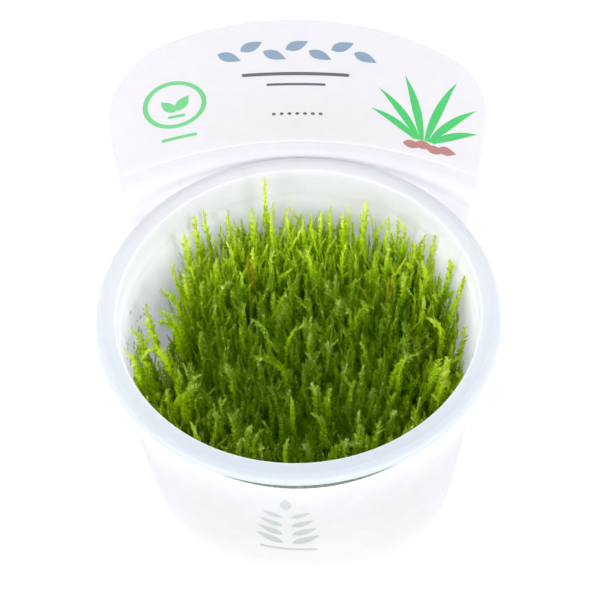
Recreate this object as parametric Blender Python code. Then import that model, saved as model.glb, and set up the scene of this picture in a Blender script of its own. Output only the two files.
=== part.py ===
"""An open tissue culture cup of upright spiky moss, in a card sleeve that rises into a display tab.

Metres, +Z up. The origin is on the surface that the cup stands on, below the middle of its rim.
The front faces -Y and the display tab stands at the back, at +Y.
"""

import math
import random

import bmesh
import bpy
import numpy as np
from mathutils import Vector, noise

MM = 0.001

# The cup: one thin moulding, turned about Z
CUP_HEIGHT = 67.4 * MM
RIM_RADIUS = 50.0 * MM
LIP_TOP_RADIUS = 48.2 * MM
LIP_EDGE_HEIGHT = 2.0 * MM
LIP_THICKNESS = 0.8 * MM
LIP_ROUND = 0.7 * MM
LIP_DROP = 0.2 * MM
MOUTH_RADIUS = 44.9 * MM
MOUTH_EASING = 0.4 * MM
WALL = 0.7 * MM
COLLAR_TAPER = 0.05
STEP_DEPTH = 9.6 * MM
STEP_WIDTH = 0.5 * MM
FOOT_RADIUS = 37.2 * MM
FOOT_EASING = 1.0 * MM
FLOOR = 0.8 * MM
FLOOR_CORNER = 1.2 * MM
TURNS = 64

# The sleeve: one card, round the cup and a little out of round at its foot
CARD = 0.5 * MM
SLEEVE_FOOT_RADIUS = 41.4 * MM
SLEEVE_TOP_RADIUS = 47.5 * MM
SLEEVE_FOOT_SHIFT = Vector((-0.8 * MM, 1.8 * MM))
SLEEVE_OVAL = 0.026
SLEEVE_FRONT_DEPTH = 9.6 * MM
SLEEVE_SIDE_RISE = 3.1 * MM
SLIT_FOOT = 42.0 * MM
SLIT_WIDTH = 0.8 * MM

# The display tab: cut flat, then rolled round a leaning cone whose point is below the rim
TAB_HALF_WIDTH = 48.4 * MM
TAB_OFFSET = -1.5 * MM
TAB_TURN = math.radians(3.9)
TAB_HEIGHT = 50.0 * MM
LEFT_SHOULDER_RADIUS = 26.0 * MM
LEFT_SHOULDER_HEIGHT = 20.0 * MM
RIGHT_SHOULDER_RADIUS = 17.5 * MM
RIGHT_SHOULDER_HEIGHT = 25.5 * MM
TAB_ROLL_RADIUS = 80.0 * MM
TAB_ROLL_GROWTH = 1.82
TAB_BACK = 50.9 * MM
TAB_LEAN = -0.04
TAB_FREE_FROM = -10.5 * MM

# What grows in the cup
CLEARANCE = 0.35 * MM
GEL_TOP = 10.0 * MM
MOSS_RINGS = 24
MOSS_EDGE_GAP = 1.8 * MM
SPIKE_LENGTH = 17.0 * MM
RIM_DROP = 3.0 * MM
TIP_SPREAD = 3.6 * MM
VALLEY_SPREAD = 2.0 * MM
STRAY = 0.4 * MM
NEIGHBOURHOOD = 17.0 * MM
SHARED_LEAN = 1.2 * MM
OWN_LEAN = 0.3 * MM
CANOPY_BACK_DEPTH = 7.0 * MM
CANOPY_FRONT_DEPTH = 12.0 * MM
CANOPY_RUN = 60.0 * MM
HOLLOWS = (
    (-34.0 * MM, 3.0 * MM, 8.0 * MM, 14.0 * MM),
    (31.0 * MM, -4.0 * MM, 5.0 * MM, 8.0 * MM),
)
TALL_SHOOT = Vector((-7.4 * MM, 40.0 * MM, CUP_HEIGHT + 3.0 * MM))
CLUMP_GAP_PLACE = 27.0 * MM
SEED = 7


def clear_scene():
    for obj in list(bpy.data.objects):
        bpy.data.objects.remove(obj)


def plain_material(name, colour, roughness, transmission=0.0):
    material = bpy.data.materials.new(name)
    material.use_nodes = True
    shader = material.node_tree.nodes["Principled BSDF"]
    shader.inputs["Base Color"].default_value = (*colour, 1.0)
    shader.inputs["Roughness"].default_value = roughness
    shader.inputs["Metallic"].default_value = 0.0
    shader.inputs["Transmission Weight"].default_value = transmission
    return material


def add_object(name, mesh_builder, material, smooth_angle):
    mesh = bpy.data.meshes.new(name)
    mesh_builder.to_mesh(mesh)
    mesh_builder.free()
    mesh.materials.append(material)
    mesh.shade_smooth()
    mesh.set_sharp_from_angle(angle=smooth_angle)
    obj = bpy.data.objects.new(name, mesh)
    bpy.context.scene.collection.objects.link(obj)
    return obj


def turned(name, profile, material):
    """A closed solid of revolution. The profile's first and last points lie on the axis."""
    bm = bmesh.new()
    verts = [bm.verts.new((radius, 0.0, height)) for radius, height in profile]
    edges = [bm.edges.new(pair) for pair in zip(verts, verts[1:])]
    bmesh.ops.spin(
        bm,
        geom=verts + edges,
        cent=(0.0, 0.0, 0.0),
        axis=(0.0, 0.0, 1.0),
        angle=math.tau,
        steps=TURNS,
        use_merge=True,
    )
    bmesh.ops.remove_doubles(bm, verts=bm.verts, dist=1e-6)
    bmesh.ops.recalc_face_normals(bm, faces=bm.faces)
    return add_object(name, bm, material, math.radians(40))


def smoothstep(value):
    value = min(max(value, 0.0), 1.0)
    return value * value * (3.0 - 2.0 * value)


def inner_wall_radius(height):
    """The cup's inner radius at a height: a collar at the mouth, a step, then a long taper."""
    step_top = CUP_HEIGHT - STEP_DEPTH
    if height >= step_top:
        return MOUTH_RADIUS - COLLAR_TAPER * (CUP_HEIGHT - height)
    below_step = MOUTH_RADIUS - COLLAR_TAPER * STEP_DEPTH - STEP_WIDTH
    floor_radius = FOOT_RADIUS - WALL
    share = (height - FLOOR) / (step_top - FLOOR)
    return floor_radius + (below_step - floor_radius) * share


def make_cup():
    step_top = CUP_HEIGHT - STEP_DEPTH
    collar = inner_wall_radius(step_top)
    below_step = collar - STEP_WIDTH
    lip_under = CUP_HEIGHT - LIP_THICKNESS
    lip_foot = CUP_HEIGHT - LIP_EDGE_HEIGHT
    corner = FLOOR + FLOOR_CORNER
    profile = [
        (0.0, 0.0),
        (FOOT_RADIUS - FOOT_EASING, 0.0),
        (FOOT_RADIUS, FOOT_EASING),
        (below_step + WALL, step_top - 2.0 * STEP_WIDTH),
        (collar + WALL, step_top - STEP_WIDTH),
        (MOUTH_RADIUS + WALL, lip_under),
        (RIM_RADIUS - LIP_THICKNESS, lip_under),
        (RIM_RADIUS - LIP_THICKNESS, lip_foot),
        (RIM_RADIUS, lip_foot),
        (RIM_RADIUS, CUP_HEIGHT - LIP_ROUND),
        (RIM_RADIUS - LIP_ROUND, CUP_HEIGHT - LIP_DROP),
        (LIP_TOP_RADIUS, CUP_HEIGHT),
        (MOUTH_RADIUS + MOUTH_EASING, CUP_HEIGHT),
        (MOUTH_RADIUS, CUP_HEIGHT - MOUTH_EASING),
        (collar, step_top),
        (below_step, step_top - STEP_WIDTH),
        (inner_wall_radius(corner), corner),
        (inner_wall_radius(corner) - FLOOR_CORNER, FLOOR),
        (0.0, FLOOR),
    ]
    plastic = plain_material("cup_plastic", (0.86, 0.89, 0.93), 0.3, 0.4)
    turned("cup", profile, plastic)


def make_gel():
    foot = FLOOR + CLEARANCE
    corner = foot + FLOOR_CORNER
    reach = inner_wall_radius(corner) - CLEARANCE
    profile = [
        (0.0, foot),
        (reach - FLOOR_CORNER, foot),
        (reach, corner),
        (inner_wall_radius(GEL_TOP) - CLEARANCE, GEL_TOP),
        (0.0, GEL_TOP),
    ]
    gel = plain_material("growth_gel", (0.86, 0.85, 0.74), 0.15, 0.6)
    turned("growth_gel", profile, gel)


def sleeve_point(angle, height):
    """A point of the card round the cup. The angle runs from the back, towards +X."""
    share = height / CUP_HEIGHT
    radius = SLEEVE_FOOT_RADIUS + (SLEEVE_TOP_RADIUS - SLEEVE_FOOT_RADIUS) * share
    radius *= 1.0 - SLEEVE_OVAL * (1.0 - share) * math.sin(2.0 * angle)
    shift = SLEEVE_FOOT_SHIFT * (1.0 - share)
    return Vector((shift.x + radius * math.sin(angle), shift.y + radius * math.cos(angle), height))


class RolledTab:
    """Takes a place on the flat tab to its place in space, without stretching the card.

    The tab lies on a leaning cone: each level section is an arc, and the arcs grow flatter upwards.
    """

    def __init__(self):
        below = -TAB_ROLL_RADIUS / TAB_ROLL_GROWTH
        self.apex = np.array((0.0, TAB_BACK + TAB_LEAN * below, below))
        section = np.linspace(-1.3, 1.3, 521)
        arc = np.stack(
            (
                TAB_ROLL_RADIUS * np.sin(section),
                TAB_BACK - TAB_ROLL_RADIUS + TAB_ROLL_RADIUS * np.cos(section),
                np.zeros_like(section),
            ),
            axis=-1,
        )
        rays = arc - self.apex
        lengths = np.linalg.norm(rays, axis=1)
        self.rays = rays / lengths[:, None]
        steps = np.linalg.norm(np.diff(self.rays, axis=0), axis=1)
        opened = np.concatenate(([0.0], np.cumsum(steps)))
        self.opened = opened - np.interp(0.0, section, opened)
        self.rim_distance = float(np.interp(0.0, section, lengths))

    def point(self, across, up):
        """Across runs from the tab's middle towards +X and up from the level of the rim."""
        rise = self.rim_distance + up
        distance = math.hypot(across, rise)
        opened = math.atan2(across, rise)
        ray = [float(np.interp(opened, self.opened, self.rays[:, axis])) for axis in range(3)]
        x, y, z = self.apex + distance * Vector(ray).normalized()
        turned_x = math.cos(TAB_TURN) * x + math.sin(TAB_TURN) * y
        turned_y = math.cos(TAB_TURN) * y - math.sin(TAB_TURN) * x
        return Vector((turned_x, turned_y, z + CUP_HEIGHT))


def tab_half(shoulder_radius, shoulder_height, shoulder_steps, arch_steps):
    """Half of the tab's cut top as (across, up): a round shoulder, then an arch up to the middle."""
    reach = TAB_HALF_WIDTH - shoulder_radius
    drop = TAB_HEIGHT - shoulder_height
    arch_radius = (reach**2 + drop**2 - shoulder_radius**2) / (2.0 * (drop - shoulder_radius))
    arch_centre = TAB_HEIGHT - arch_radius
    meet = math.atan2(reach, shoulder_height - arch_centre)
    half = []
    for i in range(shoulder_steps):
        turn = math.pi / 2 - (math.pi / 2 - meet) * i / shoulder_steps
        across = reach + shoulder_radius * math.sin(turn)
        half.append((across, shoulder_height + shoulder_radius * math.cos(turn)))
    for i in range(arch_steps):
        turn = meet * (1.0 - i / arch_steps)
        half.append((arch_radius * math.sin(turn), arch_centre + arch_radius * math.cos(turn)))
    return half


def tab_outline(shoulder_steps, arch_steps):
    """The tab's cut top as (across, up) from its left shoulder to its right one."""
    left = tab_half(LEFT_SHOULDER_RADIUS, LEFT_SHOULDER_HEIGHT, shoulder_steps, arch_steps)
    right = tab_half(RIGHT_SHOULDER_RADIUS, RIGHT_SHOULDER_HEIGHT, shoulder_steps, arch_steps)
    return [(-across, up) for across, up in left] + [(0.0, TAB_HEIGHT)] + right[::-1]


def between(start, start_way, end, end_way, share):
    """A smooth curve from start to end that leaves and arrives along the given ways."""
    a, b = share, 1.0 - share
    return (
        start * (b * b * (1.0 + 2.0 * a))
        + start_way * (a * b * b)
        + end * (a * a * (1.0 + 2.0 * b))
        - end_way * (a * a * b)
    )


def tab_column(tab, across, top, angle, bend_rows, tab_rows):
    """One column of the tab, from the slits' foot, out past the rim and up to the cut edge."""
    start = sleeve_point(angle, SLIT_FOOT)
    start_way = (start - sleeve_point(angle, 0.0)) / SLIT_FOOT
    end = tab.point(across, TAB_FREE_FROM)
    end_way = (tab.point(across, TAB_FREE_FROM + MM) - end) / MM
    length = (end - start).length
    points = []
    for i in range(1, bend_rows):
        points.append(between(start, start_way * length, end, end_way * length, i / bend_rows))
    for i in range(tab_rows + 1):
        points.append(tab.point(across, TAB_FREE_FROM + (top - TAB_FREE_FROM) * i / tab_rows))
    return points


def front_top(angle):
    """The height of the card's edge under the lip: lowest at the front, higher at the sides."""
    return CUP_HEIGHT - SLEEVE_FRONT_DEPTH + SLEEVE_SIDE_RISE * math.sin(angle) ** 2


def make_sleeve(front_columns=44, ring_rows=3, front_rows=2, bend_rows=6, tab_rows=7):
    tab = RolledTab()
    slit_radius = Vector(sleeve_point(0.0, SLIT_FOOT).xy).length
    outline = [(across + TAB_OFFSET, up) for across, up in tab_outline(6, 7)]
    angles = [TAB_TURN + across / slit_radius for across, _ in outline]
    slit = SLIT_WIDTH / slit_radius
    front_start = angles[-1] + slit
    front_end = angles[0] - slit + math.tau
    front = [front_start + (front_end - front_start) * i / front_columns for i in range(front_columns + 1)]

    bm = bmesh.new()
    ring = []
    for angle in angles + front:
        heights = [SLIT_FOOT * i / ring_rows for i in range(ring_rows + 1)]
        ring.append([bm.verts.new(sleeve_point(angle, height)) for height in heights])
    for left, right in zip(ring, ring[1:] + ring[:1]):
        fill_between(bm, left, right)

    columns = []
    for (across, top), angle, below in zip(outline, angles, ring):
        points = tab_column(tab, across, top, angle, bend_rows, tab_rows)
        columns.append([below[-1]] + [bm.verts.new(point) for point in points])
    for left, right in zip(columns, columns[1:]):
        fill_between(bm, left, right)

    columns = []
    for angle, below in zip(front, ring[len(angles) :]):
        rise = front_top(angle) - SLIT_FOOT
        heights = [SLIT_FOOT + rise * (i + 1) / front_rows for i in range(front_rows)]
        columns.append([below[-1]] + [bm.verts.new(sleeve_point(angle, height)) for height in heights])
    for left, right in zip(columns, columns[1:]):
        fill_between(bm, left, right)

    bmesh.ops.recalc_face_normals(bm, faces=bm.faces)
    card = plain_material("sleeve_card", (0.89, 0.89, 0.91), 0.45)
    sleeve = add_object("sleeve", bm, card, math.radians(35))
    solidify = sleeve.modifiers.new("card_thickness", "SOLIDIFY")
    solidify.thickness = CARD
    solidify.offset = 0.0


def fill_between(bm, left, right):
    """Quads between two columns of as many vertices."""
    for low_left, low_right, high_right, high_left in zip(left, right, right[1:], left[1:]):
        bm.faces.new((low_left, low_right, high_right, high_left))


def canopy_height(x, y):
    """The height that the shoots' tips reach: highest at the back, with a hollow at each side."""
    front_share = smoothstep(0.5 - y / CANOPY_RUN)
    depth = CANOPY_BACK_DEPTH + (CANOPY_FRONT_DEPTH - CANOPY_BACK_DEPTH) * front_share
    for hollow_x, hollow_y, width, more in HOLLOWS:
        away = ((x - hollow_x) ** 2 + (y - hollow_y) ** 2) / width**2
        depth += more * math.exp(-away)
    return CUP_HEIGHT - depth


def disc_place(q, r):
    """The ring and the angle of a triangular lattice's point once its hexagon is rounded to a disc."""
    sector = 0
    while (q, r) != (0, 0) and not (q > 0 and r >= 0):
        q, r = q + r, -q
        sector += 1
    ring = q + r
    return ring, (sector + r / max(ring, 1)) * math.pi / 3


def shoot_tip(x, y, chance):
    """A shoot's tip above its place in the mat: it leans with its neighbours and a little by itself."""
    lean = noise.noise_vector(Vector((x, y, 0.0)) / NEIGHBOURHOOD) * SHARED_LEAN
    own = Vector((chance.uniform(-1.0, 1.0), chance.uniform(-1.0, 1.0), 0.0)) * OWN_LEAN
    height = canopy_height(x, y) + chance.uniform(-1.0, 1.0) * TIP_SPREAD
    return Vector((x + lean.x + own.x, y + lean.y + own.y, height))


def kept_in_cup(point):
    reach = inner_wall_radius(point.z) - 2.0 * CLEARANCE
    away = point.xy.length
    if away > reach:
        point.xy *= reach / away
    return point


def make_moss():
    """A mat in two clumps that fills the cup, whose every third lattice point is a shoot's tip."""
    chance = random.Random(SEED)
    reach = inner_wall_radius(CUP_HEIGHT - STEP_DEPTH) - MOSS_EDGE_GAP
    foot = GEL_TOP + CLEARANCE
    bm = bmesh.new()
    verts = {}
    tips = []
    rim = []
    for q in range(-MOSS_RINGS, MOSS_RINGS + 1):
        for r in range(-MOSS_RINGS, MOSS_RINGS + 1):
            ring, angle = disc_place(q, r)
            if ring > MOSS_RINGS:
                continue
            at_rim = ring == MOSS_RINGS
            stray = 0.0 if at_rim else STRAY
            x = reach * ring / MOSS_RINGS * math.cos(angle) + chance.uniform(-1.0, 1.0) * stray
            y = reach * ring / MOSS_RINGS * math.sin(angle) + chance.uniform(-1.0, 1.0) * stray
            if (q - r) % 3 == 0 and not at_rim:
                point = shoot_tip(x, y, chance)
            else:
                depth = SPIKE_LENGTH + at_rim * RIM_DROP + chance.uniform(-1.0, 1.0) * VALLEY_SPREAD
                point = Vector((x, y, canopy_height(x, y) - depth))
            vert = bm.verts.new(kept_in_cup(point))
            verts[(q, r)] = vert
            if at_rim:
                rim.append((angle, vert))
            elif (q - r) % 3 == 0:
                tips.append(vert)

    tallest = min(tips, key=lambda vert: (vert.co.xy - TALL_SHOOT.xy).length)
    tallest.co = TALL_SHOOT

    for q, r in verts:
        for second, third in (((q + 1, r), (q, r + 1)), ((q + 1, r - 1), (q + 1, r))):
            if second in verts and third in verts:
                bm.faces.new((verts[(q, r)], verts[second], verts[third]))

    rim = [vert for _, vert in sorted(rim, key=lambda entry: entry[0])]
    radius = inner_wall_radius(foot) - 2.0 * CLEARANCE
    base = []
    for vert in rim:
        way = vert.co.xy.normalized() * radius
        base.append(bm.verts.new((way.x, way.y, foot)))
    for i, vert in enumerate(rim):
        following = (i + 1) % len(rim)
        bm.faces.new((vert, base[i], base[following], rim[following]))
    bm.faces.new(base)
    bmesh.ops.recalc_face_normals(bm, faces=bm.faces)
    leaf = plain_material("moss_leaf", (0.16, 0.32, 0.03), 0.6)
    add_object("moss", clump(bm, 1.0), leaf, math.radians(60))
    add_object("moss_back", clump(bm, -1.0), leaf, math.radians(60))
    bm.free()


def clump(mat, side):
    """The part of the mat in front of (1) or behind (-1) the gap between the two clumps."""
    bm = mat.copy()
    bmesh.ops.bisect_plane(
        bm,
        geom=bm.verts[:] + bm.edges[:] + bm.faces[:],
        plane_co=(0.0, CLUMP_GAP_PLACE - 0.5 * side * CLEARANCE, 0.0),
        plane_no=(0.0, side, 0.0),
        clear_outer=True,
    )
    bmesh.ops.holes_fill(bm, edges=[edge for edge in bm.edges if edge.is_boundary])
    bmesh.ops.recalc_face_normals(bm, faces=bm.faces)
    return bm


def main():
    clear_scene()
    make_cup()
    make_gel()
    make_sleeve()
    make_moss()


main()
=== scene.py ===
"""The looks of a tissue culture cup of upright spiky moss, in a card sleeve with a display tab.

Metres, +Z up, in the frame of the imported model: the cup stands on z = 0 below the middle of its rim,
its front faces -Y and the display tab stands behind it, at +Y.
"""

import math
import random

import bmesh
import bpy
import numpy as np
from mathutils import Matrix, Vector, geometry, kdtree, noise


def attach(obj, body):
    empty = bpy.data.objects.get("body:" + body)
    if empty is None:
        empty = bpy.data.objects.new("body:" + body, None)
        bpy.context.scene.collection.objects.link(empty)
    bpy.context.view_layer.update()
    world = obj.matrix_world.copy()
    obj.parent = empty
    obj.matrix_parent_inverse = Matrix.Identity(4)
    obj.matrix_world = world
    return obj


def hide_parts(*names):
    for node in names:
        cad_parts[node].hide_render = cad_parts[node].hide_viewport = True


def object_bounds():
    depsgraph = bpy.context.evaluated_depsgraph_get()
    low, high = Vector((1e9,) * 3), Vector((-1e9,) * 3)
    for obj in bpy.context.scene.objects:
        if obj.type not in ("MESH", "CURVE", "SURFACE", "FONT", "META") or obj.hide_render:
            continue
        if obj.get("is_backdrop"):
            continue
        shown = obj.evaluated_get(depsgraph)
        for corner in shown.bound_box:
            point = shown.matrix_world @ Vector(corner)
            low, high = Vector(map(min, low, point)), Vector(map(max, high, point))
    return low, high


MM = 0.001
ROOT = "root"

# Camera and light
CAMERA_PLACE = Vector((0.0, -264.87, 418.75)) * MM
CAMERA_TURN = (37.224, 1.440, -2.009)
CAMERA_LENS = 107.15
CAMERA_CLIP_START = 0.01
FLOOR_SIZE = 3.0
LIGHT_AROUND = 1.5
LIGHT_ABOVE = 1.05
LAMP_SIZE = 0.5

# Each lamp's name, power in watts and place
LAMPS = (
    ("left_softbox", 10.4, (-0.85, -0.65, 0.5)),
    ("right_softbox", 9.9, (0.85, -0.65, 0.5)),
    ("back_softbox", 5.0, (0.0, 1.1, 0.7)),
)

# The cup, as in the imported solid
CUP_HEIGHT = 67.4 * MM
RIM_RADIUS = 50.0 * MM
LIP_TOP_RADIUS = 48.2 * MM
LIP_EDGE_HEIGHT = 2.0 * MM
LIP_THICKNESS = 0.8 * MM
MOUTH_RADIUS = 44.9 * MM
WALL = 0.7 * MM
COLLAR_TAPER = 0.05
STEP_DEPTH = 9.6 * MM
STEP_WIDTH = 0.5 * MM
FOOT_RADIUS = 37.2 * MM
FLOOR = 0.8 * MM
GEL_TOP = 10.0 * MM
GAP = 0.35 * MM
CUP_TURNS = 160
SHARP_ANGLE = math.radians(50)
MERGE_DISTANCE = 1e-6

# The sleeve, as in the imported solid
CARD = 0.5 * MM
SLEEVE_FOOT_RADIUS = 41.4 * MM
SLEEVE_TOP_RADIUS = 47.5 * MM
SLEEVE_FOOT_SHIFT = Vector((-0.8 * MM, 1.8 * MM))
SLEEVE_OVAL = 0.026
SLEEVE_FRONT_DEPTH = 9.6 * MM
SLEEVE_SIDE_RISE = 3.1 * MM
SLIT_FOOT = 42.0 * MM
SLIT_WIDTH = 0.8 * MM
TAB_HALF_WIDTH = 48.4 * MM
TAB_OFFSET = -1.5 * MM
TAB_TURN = math.radians(3.9)
TAB_HEIGHT = 50.0 * MM
LEFT_SHOULDER_RADIUS = 26.0 * MM
LEFT_SHOULDER_HEIGHT = 20.0 * MM
RIGHT_SHOULDER_RADIUS = 17.5 * MM
RIGHT_SHOULDER_HEIGHT = 25.5 * MM
TAB_ROLL_RADIUS = 80.0 * MM
TAB_ROLL_GROWTH = 1.82
TAB_BACK = 50.9 * MM
TAB_LEAN = -0.04
TAB_FREE_FROM = -10.5 * MM
CARD_GRID = 1.7 * MM
CREASE = 5.4 * MM
CREASE_WIDTH = 0.45 * MM
BEND_ROWS = 14
SHOULDER_STEPS = 18
ARCH_STEPS = 30

# Each finish of the card: its colour, its colour round the cup and its colour at the front; the sleeve
# card's last two are painted light and shade
CARD_FINISHES = {
    "sleeve_card": ((0.59, 0.575, 0.615), (0.935, 0.925, 0.965), (0.85, 0.84, 0.875)),
    "scored_card": ((0.66, 0.65, 0.69),),
    "ink_slate": ((0.20, 0.27, 0.37),),
    "ink_charcoal": ((0.10, 0.11, 0.14),),
    "ink_mint": ((0.14, 0.46, 0.20),),
    "ink_fern": ((0.06, 0.42, 0.13),),
    "ink_bark": ((0.36, 0.17, 0.16),),
    "ink_faint": ((0.66, 0.70, 0.72),),
}

# The printed fan of blades: how each leans and bends, in degrees, and its length in millimetres
PRINTED_BLADES = (
    (-46, -22, 15.0), (-27, -18, 20.0), (-9, -12, 23.0), (12, 14, 24.0), (31, 20, 19.0), (50, 24, 14.0),
)

# The moss
SHOOT_GRID = 1.5 * MM
SHAFT_POINTS = 8
BEND_POINTS = 6
CANOPY_BACK_DEPTH = 7.0 * MM
CANOPY_FRONT_DEPTH = 18.0 * MM
CANOPY_RUN = 60.0 * MM
HOLLOWS = (
    (-39.0 * MM, 22.0 * MM, 9.0 * MM, 20.0 * MM),
    (-37.0 * MM, 11.0 * MM, 6.5 * MM, 18.0 * MM),
    (-29.5 * MM, 3.0 * MM, 5.0 * MM, 18.0 * MM),
    (33.5 * MM, 2.0 * MM, 4.0 * MM, 14.0 * MM),
)
TALL_SHOOT_GRID = 8.5 * MM
TALL_SHOOTS_END = 28.0 * MM
ROW_SHARE = 0.866
BRANCHED_SHARE = 0.4
TIP_SPREAD = 21.0 * MM
NEIGHBOURHOOD = 17.0 * MM
SHARED_LEAN = 4.5 * MM
LEAF_SPACING = 0.21 * MM
LEAF_LENGTH = 1.3 * MM
LEAFY_LENGTH = 18.5 * MM
LEAF_SPREAD = math.radians(50)
LEAF_ROLL = math.radians(35)
LEAF_TWIST = math.radians(60)
LEAF_HALF_WIDTH = 0.18
LEAF_FOLD = 0.08
LEAF_WIDEST = 0.36
LEAF_REACH = 0.9 * MM

# What a shoot has unless its own look says otherwise
PLAIN_LOOK = {"spread": 1.0, "taper": 5.0 * MM, "shade": 0.5, "age": 0.0, "bright": 0.0, "tint": 0.5}
CORE_DEPTH = 19.0 * MM
CORE_GRID = 1.6 * MM
CLUMP_GAP_PLACE = 27.0 * MM
MOSS_SEED = 11

# Drops on the wall
DROP_COUNT = 26
DROP_SEED = 3

# Straight shoots that stand out at the back and the sides, as (x, y, height over the rim) of their tips,
# in millimetres
BACK_TIPS = (
    (-28.7, 28.8, -5.0), (-25.9, 33.8, -4.0), (-23.5, 36.2, -5.0), (-17.3, 36.4, -6.0), (-10.9, 36.2, -5.0),
    (-7.4, 40.0, 3.0), (-6.0, 34.4, -4.0), (-1.8, 34.5, -4.0), (2.2, 32.6, -6.0), (4.4, 33.8, -6.0),
    (7.0, 34.2, -5.0), (9.4, 34.9, -4.0), (12.7, 33.5, -5.0), (14.1, 34.7, -4.0), (17.9, 32.7, -6.0),
    (18.8, 35.2, -3.0), (24.5, 31.2, -5.0), (26.8, 30.4, -5.0), (28.4, 28.8, -6.0), (30.8, 24.1, -7.0),
    (33.1, 24.5, -6.0), (36.2, 24.8, -5.0), (39.4, 16.6, -6.0), (42.0, 11.2, -5.0), (41.0, 9.4, -6.0),
    (-31.6, 20.6, -7.0), (-28.3, 24.7, -7.0), (-38.0, 6.1, -9.0), (-41.5, -6.5, -8.0), (-39.9, 0.3, -9.0),
    (-28.6, 19.0, -8.0),
)

# Shoots that stand out further forward: their tips, how far the tip has bent towards +X and how far it
# hangs, in millimetres
BENT_TIPS = (
    (-10.7, -8.4, -8.5, -7.5), (-2.4, 8.9, -6.4, 2.4), (1.5, -0.2, -7.5, 4.7), (3.3, 2.0, -7.3, 0.5),
    (9.9, 13.6, -5.9), (12.2, 4.1, -7.0, -1.0), (18.5, 4.4, -7.0, 4.5, 1.0), (29.0, -9.4, -9.0, 6.0),
    (25.8, -10.6, -10.0, 1.0), (32.6, 1.4, -8.8, -3.8, 0.5), (13.1, -16.5, -9.4, 1.0),
    (2.8, -16.6, -9.4, -1.0), (7.1, -18.5, -9.5, 0.5), (-2.5, -20.8, -9.7), (2.5, -25.0, -9.9, -2.5),
    (12.9, -33.6, -10.4, 7.5, 2.0), (14.1, -29.0, -10.0, 0.5), (18.3, -28.1, -10.0),
    (-17.9, -24.0, -9.9, -1.0), (-12.4, -28.0, -10.0, 1.5), (-9.9, -29.0, -10.5, 2.5),
    (-3.8, -32.4, -10.0, 1.0), (-25.4, -15.8, -9.3, 4.0), (-25.0, -12.6, -9.3, 3.0),
    (-29.3, -12.6, -9.2, 1.5), (-36.4, 2.5, -13.0, 3.5, 2.5), (-18.7, -10.2, -8.7, -1.5, 0.5),
    (-24.2, 0.0, -9.0, 1.0), (-11.7, 2.1, -7.2, -3.5), (-35.0, 14.2, -9.5, -4.5), (-38.5, 11.0, -11.0),
    (-40.0, -2.5, -16.0, -8.0, 12.0), (-35.5, 7.5, -9.0, -4.0, 1.0), (-35.5, 5.5, -11.0, -5.0, 2.0),
    (-33.5, 6.5, -9.0, -3.0), (-16.7, 13.5, -6.0, 3.0), (31.7, 6.4, -6.8), (26.3, -3.7, -10.0, -0.5),
    (26.0, -30.1, -10.5, 2.0), (34.5, -10.5, -10.0, 1.0), (36.5, -11.5, -9.5, 1.5),
    (15.5, -12.5, -8.9, 0.5),
)

# Brown shoots, as the first list
OLD_TIPS = ((-12.5, 21.5, -5.6), (-11.2, 20.5, -6.5), (23.4, 13.5, -7.5), (-19.0, -33.5, -13.0))


def smoothstep(value):
    value = min(max(value, 0.0), 1.0)
    return value * value * (3.0 - 2.0 * value)


# Node helpers


def put(node, socket, value):
    """Sets a node's input, by name or number, to a value or to another node's output."""
    target = node.inputs[socket]
    if isinstance(value, bpy.types.NodeSocket):
        node.id_data.links.new(value, target)
    else:
        target.default_value = value


def add(tree, kind, inputs=None, **settings):
    """A new node of this kind, with its settings and inputs."""
    node = tree.nodes.new(kind)
    for name, value in settings.items():
        setattr(node, name, value)
    for socket, value in (inputs or {}).items():
        put(node, socket, value)
    return node


def calculate(tree, operation, *values):
    return add(tree, "ShaderNodeMath", dict(enumerate(values)), operation=operation).outputs[0]


def product(tree, value, *factors):
    for factor in factors:
        value = calculate(tree, "MULTIPLY", value, factor)
    return value


def ranged(tree, value, low, high, to_low=0.0, to_high=1.0, smooth=False):
    """The value taken from one range to another and kept inside it."""
    kind = "SMOOTHSTEP" if smooth else "LINEAR"
    inputs = {0: value, 1: low, 2: high, 3: to_low, 4: to_high}
    return add(tree, "ShaderNodeMapRange", inputs, interpolation_type=kind).outputs[0]


def blended(tree, share, first, second):
    """A colour between two, each a colour or an output."""
    node = add(tree, "ShaderNodeMix", data_type="RGBA")
    for number, value in ((0, share), (6, first), (7, second)):
        if isinstance(value, tuple):
            value = (*value, 1.0)
        put(node, number, value)
    return node.outputs[2]


def object_noise(tree, scale, detail=3.0):
    """A noise of the given scale, per metre, in the piece's own coordinates."""
    place = add(tree, "ShaderNodeTexCoord").outputs["Object"]
    inputs = {"Vector": place, "Scale": scale, "Detail": detail}
    return add(tree, "ShaderNodeTexNoise", inputs).outputs["Fac"]


def bump(tree, height, strength, distance):
    inputs = {"Height": height, "Strength": strength, "Distance": distance}
    return add(tree, "ShaderNodeBump", inputs).outputs["Normal"]


def principled(name, **inputs):
    """A new material, its node tree and its Principled shader, with plain values on the shader."""
    material = bpy.data.materials.new(name)
    material.use_nodes = True
    tree = material.node_tree
    shader = tree.nodes["Principled BSDF"]
    for socket, value in inputs.items():
        shader.inputs[socket.replace("_", " ")].default_value = value
    return material, tree, shader


def mix_in(tree, share, surface, kind, inputs=None):
    """Swaps a share of the surface for another shader, and puts the mix on the material."""
    other = add(tree, kind, inputs).outputs[0]
    mix = add(tree, "ShaderNodeMixShader", {0: share, 1: surface, 2: other}).outputs[0]
    put(tree.nodes["Material Output"], "Surface", mix)
    return mix


# Materials


def let_light_through(tree, share, colour):
    """Lets a share of the light that falls on a thin piece glow through to its other side."""
    surface = tree.nodes["Principled BSDF"].outputs[0]
    return mix_in(tree, share, surface, "ShaderNodeBsdfTranslucent", {"Color": colour})


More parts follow.
